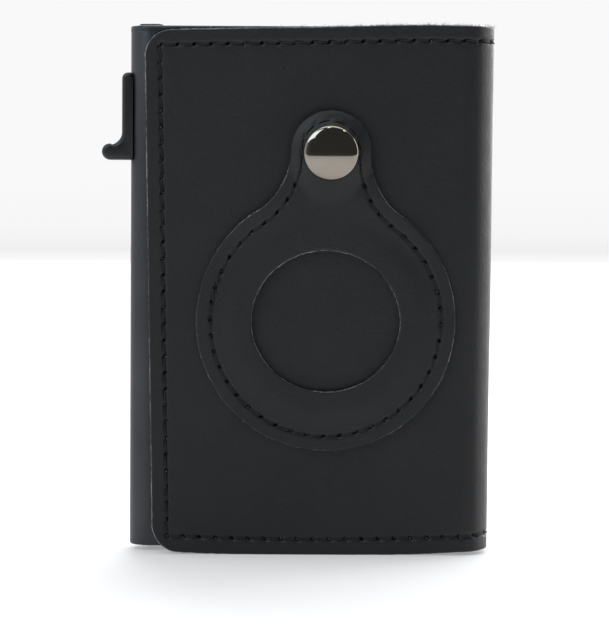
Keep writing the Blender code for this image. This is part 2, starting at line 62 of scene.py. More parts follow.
# Places, from the frame.
COVER_LOW, COVER_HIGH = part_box("front_leather")
BACK_LOW, BACK_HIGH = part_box("back_leather")
CASE_LOW, CASE_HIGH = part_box("case_shell")
PLUG_LOW, PLUG_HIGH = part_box("end_plug")
LEVER_LOW, LEVER_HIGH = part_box("thumb_lever")
CAP_LOW, CAP_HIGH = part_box("snap_cap")
POCKET_LOW, POCKET_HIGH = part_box("tracker_pocket")
FLAP_LOW, FLAP_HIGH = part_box("pocket_flap")
MAGNETS = (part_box("closing_magnet_lower"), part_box("closing_magnet_upper"))
FOLD_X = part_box("spine_leather")[1].x
FRONT_Y, BACK_Y = COVER_LOW.y, BACK_HIGH.y
HEIGHT = COVER_HIGH.z

# Leather wrap.
LEATHER, LINING = 1.2 * MM, 0.5 * MM
FOLD_R = 6.0 * MM
MID_Y = (FRONT_Y + BACK_Y) / 2
FOLD_FLAT = (BACK_Y - FRONT_Y) / 2 - FOLD_R
FOLD_ARC = FOLD_R * math.pi / 2
CORNER_R = 5.0 * MM
STITCH_INSET, STITCH_PITCH = 2.9 * MM, 3.1 * MM
CORNER_STITCH_R = 0.01 * MM  # the rows run on to where they meet, as if the corner were square
THREAD_R = 0.15 * MM
GROOVE_DEPTH, GROOVE_W = 0.13 * MM, 0.38 * MM
HOLE_DEPTH, HOLE_LONG, HOLE_WIDE = 0.85 * MM, 0.46 * MM, 0.22 * MM
RIM = 0.26 * MM  # how far a cut edge bulges
RIM_TURNS = (28, 55, 80, 110, 145)  # degrees from the face to the back, round a cut edge
FLOOR_GAP = 0.02 * MM
LINING_MARGIN, LINING_GAP = 0.3 * MM, 0.04 * MM
BOARD_EDGE, BOARD_RISE = 0.15 * MM, 1.2 * MM  # the lining's height off the leather, beside and over the board

# Card case, its plug and its lever.
CASE_R, CASE_WALL = 4.0 * MM, 1.2 * MM
CASE_MID_Y = (CASE_LOW.y + CASE_HIGH.y) / 2
SLOT_Z, SLOT_R = (57.4 * MM, 88.6 * MM), 1.5 * MM
RIB_X, RIB_T, RIB_H = CASE_LOW.x + 6.65 * MM, 0.8 * MM, 1.7 * MM
TAB_X, TAB_Y, TAB_RISE = (CASE_LOW.x + 1.65 * MM, CASE_LOW.x + 6.25 * MM), 2.3 * MM, 0.4 * MM
NOSE_R, HOLLOW_R, SHOULDER_R, STEM_R = 1.6 * MM, 2.4 * MM, 0.85 * MM, 1.25 * MM
LEVER_NECK_Y, LEVER_NECK_Z = 1.2 * MM, (78 * MM, 88 * MM)

# Tracker pocket.
POCKET_R = (POCKET_HIGH.x - POCKET_LOW.x) / 2
POCKET_X = (POCKET_HIGH.x + POCKET_LOW.x) / 2
POCKET_Z = POCKET_LOW.z + POCKET_R
WINDOW_R, WINDOW_SQUASH = 14.0 * MM, 0.952
SPLIT_Z = (POCKET_HIGH.z + FLAP_LOW.z) / 2
NECK_R, NECK_FILLET = 7.7 * MM, 13.5 * MM
SNAP_X, SNAP_Z = (CAP_LOW.x + CAP_HIGH.x) / 2, (CAP_LOW.z + CAP_HIGH.z) / 2
NECK_Z = FLAP_HIGH.z - NECK_R
POCKET_RISE, NECK_RISE = 0.6 * MM, 2.7 * MM
NECK_INSET, PEAR_INSET = 2.1 * MM, 2.75 * MM  # from the cut edge to the stitches
DOUBLED = ((-1, 43.4 * MM, 53.0 * MM), (1, 43.1 * MM, 51.0 * MM))  # side, lowest and highest z
RIVET_R = 1.5 * MM
CAP_RIM_Y = CAP_LOW.y + 2.2 * MM


# --- materials

class Shader:
    """A Principled material, with short calls for the nodes that drive it."""

    def __init__(self, name, colour, roughness, metallic=0.0, **sockets):
        self.mat = bpy.data.materials.new(name)
        self.mat.use_nodes = True
        self.tree = self.mat.node_tree
        self.out = self.tree.nodes["Principled BSDF"]
        self.out.inputs["Base Color"].default_value = (*colour, 1)
        self.out.inputs["Roughness"].default_value = roughness
        self.out.inputs["Metallic"].default_value = metallic
        for socket, value in sockets.items():
            self.out.inputs[socket.replace("_", " ")].default_value = value
        self.coords = self.node("ShaderNodeTexCoord").outputs["Object"]
        self.height = None

    def node(self, kind, **settings):
        made = self.tree.nodes.new(kind)
        for key, value in settings.items():
            setattr(made, key, value)
        return made

    def link(self, a, b):
        self.tree.links.new(a, b)

    def noise(self, size, detail=3.0, stretch=(1, 1, 1), rough=0.5):
        """Noise whose features are about size metres wide."""
        mapping = self.node("ShaderNodeMapping")
        mapping.inputs["Scale"].default_value = stretch
        self.link(self.coords, mapping.inputs["Vector"])
        made = self.node("ShaderNodeTexNoise")
        made.inputs["Scale"].default_value = 1 / size
        made.inputs["Detail"].default_value = detail
        made.inputs["Roughness"].default_value = rough
        self.link(mapping.outputs["Vector"], made.inputs["Vector"])
        return made.outputs["Fac"]

    def cells(self, size):
        made = self.node("ShaderNodeTexVoronoi", feature="SMOOTH_F1")
        made.inputs["Scale"].default_value = 1 / size
        self.link(self.coords, made.inputs["Vector"])
        return made.outputs["Distance"]

    def colour_from(self, value, dark, light, start=0.3, end=0.7):
        ramp = self.node("ShaderNodeValToRGB")
        ramp.color_ramp.elements[0].position = start
        ramp.color_ramp.elements[0].color = (*dark, 1)
        ramp.color_ramp.elements[1].position = end
        ramp.color_ramp.elements[1].color = (*light, 1)
        self.link(value, ramp.inputs["Fac"])
        self.link(ramp.outputs["Color"], self.out.inputs["Base Color"])

    def roughness_from(self, value, low, high):
        made = self.node("ShaderNodeMapRange")
        for socket, number in (("From Min", 0.3), ("From Max", 0.7), ("To Min", low), ("To Max", high)):
            made.inputs[socket].default_value = number
        self.link(value, made.inputs["Value"])
        self.link(made.outputs["Result"], self.out.inputs["Roughness"])

    def bump(self, value, depth, strength):
        """Bumps of depth metres, on top of those added before."""
        made = self.node("ShaderNodeBump")
        made.inputs["Distance"].default_value = depth
        made.inputs["Strength"].default_value = strength
        self.link(value, made.inputs["Height"])
        if self.height:
            self.link(self.height, made.inputs["Normal"])
        self.height = made.outputs["Normal"]
        self.link(self.height, self.out.inputs["Normal"])


def surface(name, dark, light, blotches, roughness, specular=0.5, metallic=0.0, gloss=None, bumps=()):
    """A material mottled from dark to light.

    blotches is the noise that mixes them, gloss has the roughness's noise, low and high, and each of bumps
    has a noise, a depth and a strength. A noise is (size, detail, stretch). Sizes and depths are in mm.
    """
    s = Shader(name, light, roughness, metallic, Specular_IOR_Level=specular)
    s.colour_from(s.noise(blotches[0] * MM, *blotches[1:]), dark, light)
    if gloss:
        grain, low, high = gloss
        s.roughness_from(s.noise(grain[0] * MM, *grain[1:]), low, high)
    for grain, depth, strength in bumps:
        s.bump(s.noise(grain[0] * MM, *grain[1:]), depth * MM, strength)
    return s


def leather_material():
    s = Shader("black_leather", (0.006, 0.0061, 0.0072), 0.5, Specular_IOR_Level=0.41)
    s.colour_from(s.noise(11 * MM, 5), (0.0045, 0.0047, 0.0058), (0.007, 0.0072, 0.0082))
    s.roughness_from(s.noise(3 * MM, 6), 0.46, 0.54)
    s.bump(s.cells(0.42 * MM), 0.06 * MM, 0.6)
    s.bump(s.noise(0.3 * MM, 4), 0.05 * MM, 0.6)
    s.bump(s.noise(2.2 * MM, 5), 0.1 * MM, 0.5)
    return s.mat


def edge_material(name, pale):
    """A cut edge: dusty fibre over black, paler in some stretches than in others, and pale partly as painted
    highlight for the light that the edge catches.
    """
    s = Shader(name, (0.12, 0.118, 0.115), 0.85, Specular_IOR_Level=0.25)
    both = s.node("ShaderNodeMath", operation="MULTIPLY")
    s.link(s.noise(0.8 * MM, 6, rough=0.7), both.inputs[0])
    s.link(s.noise(11 * MM, 2), both.inputs[1])
    s.colour_from(both.outputs[0], (0.025, 0.0245, 0.024), pale, 0.2, 0.38)
    s.bump(s.noise(0.2 * MM, 4), 0.08 * MM, 0.7)
    return s.mat


def cloth_material(name, dark, light):
    s = surface(name, dark, light, (0.7, 4), 0.85, 0.2)
    weave = s.node("ShaderNodeTexWave", wave_type="BANDS", bands_direction="DIAGONAL")
    weave.inputs["Scale"].default_value = 1 / (1.6 * MM)
    weave.inputs["Distortion"].default_value = 0.6
    s.link(s.coords, weave.inputs["Vector"])
    s.bump(weave.outputs["Fac"], 0.05 * MM, 0.5)
    s.bump(s.noise(0.3 * MM, 3), 0.05 * MM, 0.4)
    return s.mat


def plastic_material(name, colour, roughness, specular=0.45):
    dark, light = tuple(c * 0.85 for c in colour), tuple(c * 1.2 for c in colour)
    gloss = ((1.2, 4), roughness - 0.05, roughness + 0.07)
    return surface(name, dark, light, (5, 2), roughness, specular, 0, gloss, [((0.22, 3), 0.012, 0.5)]).mat


def metal_material(name, colour, roughness, wear):
    dark = tuple(c * 0.94 for c in colour)
    gloss = ((0.5, 4, (1, 1, 6)), roughness - wear, roughness + wear)
    return surface(name, dark, colour, (3, 2), roughness, 0.5, 1, gloss, [((4, 2), 0.01, 0.15)]).mat


def make_materials():
    flesh = surface(
        "leather_flesh_side", (0.01, 0.0095, 0.009), (0.035, 0.033, 0.031), (0.5, 5), 0.9, 0.2,
        bumps=[((0.35, 5), 0.1, 0.6)],
    )
    side = surface(
        "leather_cut_side", (0.018, 0.0175, 0.017), (0.065, 0.063, 0.061), (0.3, 5, (1, 1, 0.4)), 0.85, 0.25,
        bumps=[((0.16, 4), 0.05, 0.6)],
    )
    thread = surface(
        "black_thread", (0.0035, 0.0035, 0.0037), (0.012, 0.012, 0.0125), (0.5, 2), 0.65, 0.35,
        bumps=[((0.09, 3), 0.03, 0.6)],
    )
    case = surface(
        "blasted_black_metal", (0.045, 0.048, 0.053), (0.062, 0.065, 0.071), (14, 3), 0.42, 0.5, 0.85,
        ((0.25, 3), 0.36, 0.48), [((0.16, 3), 0.02, 0.5)],
    )
    felt = surface(
        "grey_felt", (0.05, 0.05, 0.05), (0.14, 0.14, 0.14), (0.4, 5), 0.95, 0.1,
        bumps=[((0.3, 5), 0.2, 0.8)],
    )
    return {
        "leather": leather_material(),
        "flesh": flesh.mat,
        # pale cut edge: grey fibre, made paler as painted highlight where the edge catches light
        "edge": edge_material("cut_edge_fibre_and_highlight", (0.34, 0.335, 0.325)),
        # a darker copy of the cut edge, for painted shade on parts of the pear's edge
        "shaded_edge": edge_material("painted_shade_leather_edge", (0.07, 0.068, 0.066)),
        "side": side.mat,
        "fibre": surface("leather_fibre", (0.03, 0.03, 0.03), (0.3, 0.3, 0.29), (0.8, 2), 0.8).mat,
        "thread": thread.mat,
        "lining": cloth_material("black_lining", (0.006, 0.006, 0.007), (0.016, 0.016, 0.018)),
        "case": case.mat,
        "plastic": plastic_material("black_plastic", (0.008, 0.008, 0.0085), 0.36),
        "plug": plastic_material("dark_plug", (0.03, 0.031, 0.034), 0.6, 0.2),
        "nylon": plastic_material("dark_nylon", (0.03, 0.03, 0.031), 0.5),
        "pad": plastic_material("adhesive_foam", (0.04, 0.04, 0.04), 0.75),
        "felt": felt.mat,
        "steel": metal_material("zinc_plated_steel", (0.52, 0.52, 0.53), 0.3, 0.08),
        "snap": metal_material("gunmetal_plating", (0.3, 0.268, 0.23), 0.07, 0.02),
    }


# --- mesh helpers

def smooth(t):
    t = min(max(t, 0.0), 1.0)
    return t * t * (3 - 2 * t)


def add_object(name, data):
    obj = bpy.data.objects.new(name, data)
    bpy.context.scene.collection.objects.link(obj)
    return obj


def aim(obj, quaternion):
    obj.rotation_mode = "QUATERNION"
    obj.rotation_quaternion = quaternion


def finish_mesh(name, bm, materials, angle=40):
    """An object from a bmesh, shaded smooth apart from edges sharper than angle."""
    bmesh.ops.recalc_face_normals(bm, faces=bm.faces)
    mesh = bpy.data.meshes.new(name)
    bm.to_mesh(mesh)
    bm.free()
    for mat in materials:
        mesh.materials.append(mat)
    mesh.shade_smooth()
    mesh.set_sharp_from_angle(angle=math.radians(angle))
    return add_object(name, mesh)


def settle(obj):
    """Applies the object's modifiers to its mesh."""
    graph = bpy.context.evaluated_depsgraph_get()
    graph.update()
    mesh = bpy.data.meshes.new_from_object(obj.evaluated_get(graph))
    obj.modifiers.clear()
    obj.data = mesh


def round_edges(obj, width, segments=2, angle=50):
    bevel = obj.modifiers.new("round_edges", "BEVEL")
    bevel.width = width
    bevel.segments = segments
    bevel.limit_method = "ANGLE"
    bevel.angle_limit = math.radians(angle)
    settle(obj)


def cut_away(obj, *cutters):
    for cutter in cutters:
        boolean = obj.modifiers.new("cut", "BOOLEAN")
        boolean.operation = "DIFFERENCE"
        boolean.solver = "EXACT"
        boolean.object = cutter
    settle(obj)
    for cutter in cutters:
        bpy.data.objects.remove(cutter, do_unlink=True)


def sharpen(obj, angle):
    """Marks the edges that stay sharp again, after a cut."""
    obj.data.set_sharp_from_angle(angle=math.radians(angle))


def steps(length, coarse, fine, zones):
    """Places from 0 to length, close together inside the zones and wider outside them."""
    places = [0.0]
    while places[-1] < length - 1e-9:
        here = places[-1]
        size = fine if any(a - fine < here < b for a, b in zones) else coarse
        ahead = [a for a, b in zones if here < a < here + size]
        places.append(min(ahead[0] if ahead and size == coarse else here + size, length))
    if len(places) > 2 and places[-1] - places[-2] < 0.3 * fine:
        del places[-2]
    return places


def rim_loops(columns, ring):
    """The sheet's boundary as closed loops of (column, row, inner neighbour)."""
    wide, last = len(columns) - 1, len(columns[0]) - 1
    if ring:
        return [[(i, j, (i, k)) for i in range(wide + 1)] for j, k in ((0, 1), (last, last - 1))]
    foot = [(i, 0, (i, 1)) for i in range(wide)]
    free = [(wide, j, (wide - 1, j)) for j in range(last)]
    head = [(i, last, (i, last - 1)) for i in range(wide, 0, -1)]
    seam = [(0, j, (1, j)) for j in range(last, 0, -1)]
    return [foot + free + head + seam]


def thick_sheet(name, columns, thickness, materials, ring=False, bulge=0.0, flat_start=False):
    """A closed sheet from a grid of (outer point, outward normal), with a rounded cut edge.

    The last column joins the first where the sheet is a ring. The edge bulges by bulge, but only up and down
    at the first column where flat_start is set. materials are the face's, back's, pale outer edge's and inner
    edge's; the outer edge's pale tone is partly worn fibre and partly painted highlight.
    """
    bm = bmesh.new()
    outer = [[bm.verts.new(p) for p, n in column] for column in columns]
    inner = [[bm.verts.new(p - n * thickness) for p, n in column] for column in columns]
    last = len(columns[0]) - 1
    pairs = list(zip(range(len(columns) - 1), range(1, len(columns))))
    if ring:
        pairs.append((len(columns) - 1, 0))
    for i, k in pairs:
        for j in range(last):
            bm.faces.new((outer[i][j], outer[k][j], outer[k][j + 1], outer[i][j + 1]))
            bm.faces.new((inner[i][j], inner[i][j + 1], inner[k][j + 1], inner[k][j])).material_index = 1
    for loop in rim_loops(columns, ring):
        strips = []
        count = len(loop)
        for n, (i, j, (near_i, near_j)) in enumerate(loop):
            point, normal = columns[i][j]
            ahead, behind = loop[(n + 1) % count], loop[n - 1]
            along = columns[ahead[0]][ahead[1]][0] - columns[behind[0]][behind[1]][0]
            out = along.cross(normal).normalized()
            if out.dot(point - columns[near_i][near_j][0]) < 0:
                out.negate()
            ragged = 1 + 0.35 * noise.noise(point * 900)
            reach = bulge * ragged
            if flat_start and i == 0:
                out = Vector((0, 0, 1 if j == last else -1))
                reach *= j in (0, last)
            strip = [outer[i][j]]
            for a in (math.radians(v) for v in RIM_TURNS):
                place = point - normal * thickness * (1 - math.cos(a)) / 2 + out * reach * math.sin(a)
                place.z = max(place.z, FLOOR_GAP)
                strip.append(bm.verts.new(place))
            strips.append(strip + [inner[i][j]])
        for n, strip in enumerate(strips):
            following = strips[(n + 1) % count]
            for k in range(len(strip) - 1):
                face = bm.faces.new((strip[k], following[k], following[k + 1], strip[k + 1]))
                # the cut edge's front turns take the pale edge material, which is partly painted highlight;
                # its back turns take the side's
                face.material_index = (0, 2, 2)[k] if k < 3 else 3
    return finish_mesh(name, bm, materials, 75)


def loft(bm, rings):
    """Joins rings of as many vertices each, in order, and closes both ends."""
    bm.faces.new(rings[0])
    bm.faces.new(rings[-1])
    size = len(rings[0])
    for a, b in zip(rings, rings[1:]):
        for n in range(size):
            m = (n + 1) % size
            bm.faces.new((a[n], a[m], b[m], b[n]))


def soft_prism(name, outline, low, high, materials, radius, count=6):
    """A prism along Y whose end edges are rounded by insetting its outline step by step."""
    size = len(outline)
    area = sum(a[0] * b[1] - b[0] * a[1] for a, b in zip(outline, outline[1:] + outline[:1]))
    turn = 1 if area > 0 else -1
    inward = []
    for n in range(size):
        a, b, c = outline[n - 1], outline[n], outline[(n + 1) % size]
        first = Vector((b[0] - a[0], b[1] - a[1])).normalized()
        second = Vector((c[0] - b[0], c[1] - b[1])).normalized()
        mean = (first + second).normalized()
        stretch = 1 / max(mean.dot(first), 0.5)
        inward.append(Vector((-mean.y, mean.x)) * turn * stretch)
    layers = []
    for n in range(count + 1):
        a = math.pi / 2 * n / count
        layers.append((radius * (1 - math.sin(a)), radius * (1 - math.cos(a))))
    heights = [(inset, low + rise) for inset, rise in layers]
    heights += [(inset, high - rise) for inset, rise in layers[::-1]]
    bm = bmesh.new()
    rings = []
    for inset, y in heights:
        rings.append([
            bm.verts.new((p[0] + d.x * inset, y, p[1] + d.y * inset)) for p, d in zip(outline, inward)
        ])
    loft(bm, rings)
    return finish_mesh(name, bm, materials, 40)


def prism(name, outline, axis, low, high, materials):
    """A closed outline of two coordinates, extruded along the third, which is x or z."""
    put = {"x": lambda p, h: (h, p[0], p[1]), "z": lambda p, h: (p[0], p[1], h)}[axis]
    bm = bmesh.new()
    loft(bm, [[bm.verts.new(put(p, h)) for p in outline] for h in (low, high)])
    return finish_mesh(name, bm, materials, 30)


def arc(centre, radius, start, end, count):
    found = []
    for n in range(count + 1):
        angle = math.radians(start + (end - start) * n / count)
        found.append((centre[0] + radius * math.cos(angle), centre[1] + radius * math.sin(angle)))
    return found


def rounded_rectangle(x0, x1, y0, y1, radius, count=10):
    corners = (
        ((x1 - radius, y0 + radius), -90), ((x1 - radius, y1 - radius), 0),
        ((x0 + radius, y1 - radius), 90), ((x0 + radius, y0 + radius), 180),
    )
    return [p for centre, start in corners for p in arc(centre, radius, start, start + 90, count)]


def turned(name, x, z, profile, materials, count=96, angle=35):
    """Turns (radius, y) points, from axis to axis, about the line along Y through x, z."""
    bm = bmesh.new()
    rings = []
    for radius, y in profile:
        if radius == 0:
            rings.append([bm.verts.new((x, y, z))])
            continue
        turns = [2 * math.pi * n / count for n in range(count)]
        rings.append([bm.verts.new((x + radius * math.cos(a), y, z + radius * math.sin(a))) for a in turns])
    for a, b in zip(rings, rings[1:]):
        for n in range(count):
            m = (n + 1) % count
            ring = [a[n % len(a)], a[m % len(a)], b[m % len(b)], b[n % len(b)]]
            bm.faces.new(list(dict.fromkeys(ring)))
    return finish_mesh(name, bm, materials, angle)


# --- leather wrap

def hole(along, across, slant=0.6):
    """The depth of a slanting awl hole, at a place beside its middle."""
    straight = math.sqrt(1 - slant**2)
    along, across = along * straight + across * slant, across * straight - along * slant
    return HOLE_DEPTH * math.exp(-((along / HOLE_LONG) ** 2) - (across / HOLE_WIDE) ** 2)


class Panel:
    """Half of the wrap, from the spine's middle to a free edge. side is 1 at the back, -1 at the front."""

    def __init__(self, side, free_x):
        self.side = side
        self.flat_start = FOLD_FLAT + FOLD_ARC
        self.length = self.flat_start + FOLD_X - FOLD_R - free_x

    def path(self, s):
        """((x, y), outward normal) at a distance s from the spine's middle."""
        if s < FOLD_FLAT:
            normal = (1.0, 0.0)
            point = (FOLD_X, MID_Y + self.side * s)
        elif s < self.flat_start:
            turn = (s - FOLD_FLAT) / FOLD_R
            normal = (math.cos(turn), self.side * math.sin(turn))
            point = (FOLD_X - FOLD_R + FOLD_R * normal[0], MID_Y + self.side * FOLD_FLAT + FOLD_R * normal[1])
        else:
            normal = (0.0, float(self.side))
            point = (FOLD_X - FOLD_R - (s - self.flat_start), MID_Y + self.side * (FOLD_FLAT + FOLD_R))
        return point, normal

    def ends(self, s, corner=CORNER_R, margin=0.0, worn=1.0):
        """The panel's lowest and highest z at s: rounded corners, a bowed foot and a top that falls away."""
        edge = self.length - margin - s
        drop = corner - math.sqrt(max(corner**2 - max(corner - edge, 0) ** 2, 0))
        if self.side < 0:
            foot = 0.78 * (s - 42 * MM) ** 2
            crest = math.exp(-(((s - 20 * MM) / (16 * MM)) ** 2))
            fall = 0.85 * MM * (s / self.length) ** 2.2 - 0.34 * MM * crest
        else:
            foot = 1.38 * MM * max(1 - s / (30 * MM), 0) ** 2
            fall = 0
        return foot + drop + 0.3 * margin, HEIGHT - drop - margin - worn * fall

    def lean(self, s, z):
        """The wrap is a little wider at its top than at its bottom."""
        up = z / HEIGHT
        share = s / self.length
        fold = -0.35 * MM + 0.95 * MM * up
        free = 0.95 * MM - 1.8 * MM * up
        return (1 - share) * fold + share * (free if self.side < 0 else 0)

    def stitch_pitch(self):
        """The distance between holes along the top and bottom rows, and down the side row."""
        corner_s = self.length - STITCH_INSET
        low, high = self.ends(corner_s, CORNER_STITCH_R)
        side = high - low - 2 * STITCH_INSET
        return corner_s / round(corner_s / STITCH_PITCH), side / round(side / STITCH_PITCH)

    def groove(self, s, z):
        """How deep the surface is drawn in along the stitching, and at its holes."""
        low, high = self.ends(s, CORNER_STITCH_R)
        corner_s = self.length - STITCH_INSET
        beyond = max(s - corner_s, 0)
        top, foot = high - STITCH_INSET - z, z - low - STITCH_INSET
        near = min(abs(top), abs(foot))
        distance = math.hypot(beyond, near)
        inside = top > 0 and foot > 0
        if inside:
            distance = min(distance, abs(corner_s - s))
        deep = GROOVE_DEPTH * math.exp(-((distance / GROOVE_W) ** 2))
        if distance > 3 * HOLE_LONG:
            return deep
        pitch_s, pitch_z = self.stitch_pitch()
        if inside and abs(corner_s - s) < near:
            along, across = (top + pitch_z / 2) % pitch_z - pitch_z / 2, s - corner_s
        else:
            along, across = (s + pitch_s / 2) % pitch_s - pitch_s / 2, top if abs(top) < abs(foot) else foot
        return deep + hole(along, across)

    def swell(self, s, z):
        """Slow, shallow waves of hand-laid leather."""
        waves = ripple(0.24 * MM, s, z, 28, 3.1 * self.side) + ripple(0.05 * MM, s, z, 95, 9.2 * self.side)
        return waves * smooth(s / (9 * MM))

    def place(self, s, z, grooved=True):
        """(point on the leather's outer face, its outward normal)."""
        (x, y), normal = self.path(s)
        n = Vector((normal[0], normal[1], 0))
        height = self.swell(s, z) - (self.groove(s, z) if grooved else 0)
        return Vector((x + self.lean(s, z), y, z)) + n * height, n


FRONT = Panel(-1, COVER_LOW.x)
BACK = Panel(1, BACK_LOW.x)


def around(places, reach=0.45 * MM):
    return [(place - reach, place + reach) for place in places]


def panel_columns(panel, margin=0.0, grooved=True, worn=1.0):
    """The grid of a panel's outer face, margin smaller all round, and fine at its edges and its holes."""
    corner_s = panel.length - STITCH_INSET
    length = panel.length - margin
    s_zones = [(corner_s - 0.9 * MM, panel.length)]
    z_zones = [(0, 1.2 * MM), (HEIGHT - 1.2 * MM, HEIGHT)]
    if grooved:
        pitch_s, pitch_z = panel.stitch_pitch()
        low, high = panel.ends(corner_s, CORNER_STITCH_R)
        s_zones += around([n * pitch_s for n in range(int(corner_s / pitch_s) + 1)])
        side_top, height = high - STITCH_INSET, high - low
        holes = [side_top - n * pitch_z for n in range(int((height - 2 * STITCH_INSET) / pitch_z) + 2)]
        z_zones += around([(z - low) / height * HEIGHT for z in holes])
        z_zones += [(STITCH_INSET - 1.0 * MM, STITCH_INSET + 1.0 * MM)]
        z_zones += [(HEIGHT - STITCH_INSET - 1.0 * MM, HEIGHT - STITCH_INSET + 1.0 * MM)]
    coarse = 1.1 * MM if grooved else 1.6 * MM
    s_places = steps(length, coarse, 0.2 * MM, s_zones)
    v_places = [z / HEIGHT for z in steps(HEIGHT, coarse, 0.2 * MM, z_zones)]
    columns = []
    for s in s_places:
        low, high = panel.ends(min(s, length - 0.02 * MM), CORNER_R - margin, margin, worn)
        column = []
        for v in v_places:
            z = low + (high - low) * v
            column.append(panel.place(s, z, grooved))
        columns.append(column)
    return columns


def bend_with(panel, obj):
    """Bakes a piece's place into its mesh; the piece is not bent over the fold."""
    if panel is FRONT:
        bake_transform(obj)
    else:
        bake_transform(obj)


def rivet_hole(low, high, mats):
    """A cutter for the hole that the snap's rivet goes through, from low to high along Y."""
    profile = [(0, low), (RIVET_R, low), (RIVET_R, high), (0, high)]
    return turned("rivet_hole", SNAP_X, SNAP_Z, profile, [mats["edge"]], 24)


def make_wrap(mats):
    skins = [mats["leather"], mats["flesh"], mats["edge"], mats["side"]]
    for panel, name in ((FRONT, "cover_leather"), (BACK, "back_panel_leather")):
        obj = thick_sheet(name, panel_columns(panel, margin=RIM), LEATHER, skins, bulge=RIM, flat_start=True)
        if panel is FRONT:
            cut_away(obj, rivet_hole(FRONT_Y - 2 * MM, FRONT_Y + 4 * MM, mats))
            sharpen(obj, 75)
        bend_with(panel, obj)
        nodes = ("front_leather", "spine_leather") if panel is FRONT else ("back_leather",)
        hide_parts(*nodes)


def make_wrap_lining(mats):
    cloth = [mats["lining"]] * 4
    for panel, name in ((FRONT, "cover_lining"), (BACK, "back_panel_lining")):
        columns = [
            [(p - normal * (LEATHER + LINING_GAP + puff(panel, p)), normal) for p, normal in column]
            for column in panel_columns(panel, LINING_MARGIN, grooved=False, worn=0.1)
        ]
        obj = thick_sheet(name, columns, LINING, cloth, bulge=0.12 * MM, flat_start=True)
        bend_with(panel, obj)
        nodes = ("front_lining", "front_board", "spine_lining") if panel is FRONT else ("back_lining",)
        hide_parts(*nodes)


def puff(panel, point):
    """How far the lining stands off the leather, over the board and magnets inside the front cover."""
    if panel is BACK:
        return 0.25 * MM
    left = point.x - (COVER_LOW.x + STITCH_INSET)
    right = FOLD_X - FOLD_R - 2 * MM - point.x
    low, high = point.z - STITCH_INSET, HEIGHT - STITCH_INSET - point.z
    inside = min(left, right, low, high)
    share = smooth((inside + 0.4 * MM) / (2.4 * MM))
    for start, end in MAGNETS:
        away = math.hypot(point.x - (start.x + end.x) / 2, point.z - (start.z + end.z) / 2)
        share = max(share, smooth(((end.z - start.z) / 2 + 1.3 * MM - away) / (1.2 * MM)))
    return BOARD_EDGE + BOARD_RISE * share


# --- stitches

def add_stitch(bm, points, normal, radius=THREAD_R, dip=0.5 * MM, rise=-0.04 * MM, phase=0.0):
    """One stitch of two-ply thread along points. It dips into its holes at both ends."""
    sides = 10
    rings = []
    count = len(points)
    for n, point in enumerate(points):
        t = n / (count - 1)
        height = rise - (rise + dip) * abs(2 * t - 1) ** 7
        ahead = (points[min(n + 1, count - 1)] - points[max(n - 1, 0)]).normalized()
        slope = -(rise + dip) * 14 * abs(2 * t - 1) ** 6 * (1 if t > 0.5 else -1)
        run = (points[-1] - points[0]).length
        along = (ahead * run + normal * slope).normalized()
        side = along.cross(normal).normalized()
        up = side.cross(along)
        ring = []
        for k in range(sides):
            a = 2 * math.pi * k / sides
            ply = 1 + 0.2 * math.cos(2 * (a - phase - t * run / (0.55 * MM)))
            offset = (side * math.cos(a) + up * math.sin(a)) * radius * ply
            ring.append(bm.verts.new(point + normal * height + offset))
        rings.append(ring)
    loft(bm, rings)


def stitch_row(bm, place, length, pitch=STITCH_PITCH, gap=0.66 * MM, slant=0.12 * MM):
    """Stitches along a line. place(t) gives a surface point, its normal and the line's sideways direction."""
    count = max(1, round(length / pitch))
    pitch = length / count
    for n in range(count):
        jitter = DICE.uniform(-0.05, 0.05) * MM
        start = n * pitch + gap / 2 + jitter
        end = (n + 1) * pitch - gap / 2 + DICE.uniform(-0.05, 0.05) * MM
        wander = DICE.uniform(-0.04, 0.04) * MM
        points = []
        for k in range(11):
            t = k / 10
            point, normal, side = place(start + (end - start) * t)
            points.append(point + side * (slant * (2 * t - 1) + wander))
        middle_normal = place((start + end) / 2)[1]
        add_stitch(bm, points, middle_normal, phase=DICE.uniform(0, math.pi))


def draw(*ranges):
    """A vector whose coordinates are drawn from (low, high) ranges, or are plain numbers."""
    return Vector([DICE.uniform(*r) if isinstance(r, tuple) else r for r in ranges])


def add_glint_flecks(bm, place, length, chance=0.75):
    """Pale scraps of fibre, pulled up by the awl at the holes of a row, that also serve as painted highlight
    for the thread's glints at the holes.
    """
    count = max(1, round(length / STITCH_PITCH))
    for n in range(count + 1):
        if DICE.random() > chance:
            continue
        point, normal, side = place(min(length * n / count, length))
        for _ in range(DICE.randint(1, 3)):
            root = point + side * DICE.uniform(-0.3, 0.3) * MM - normal * 0.02 * MM
            lean = (draw((-1, 1), 0, (-1, 1)).normalized() + normal * 0.25).normalized()
            size, radius = DICE.uniform(0.15, 0.35) * MM, DICE.uniform(0.03, 0.07) * MM
            add_fibre(bm, root, lean, size, radius, normal * 0.1)


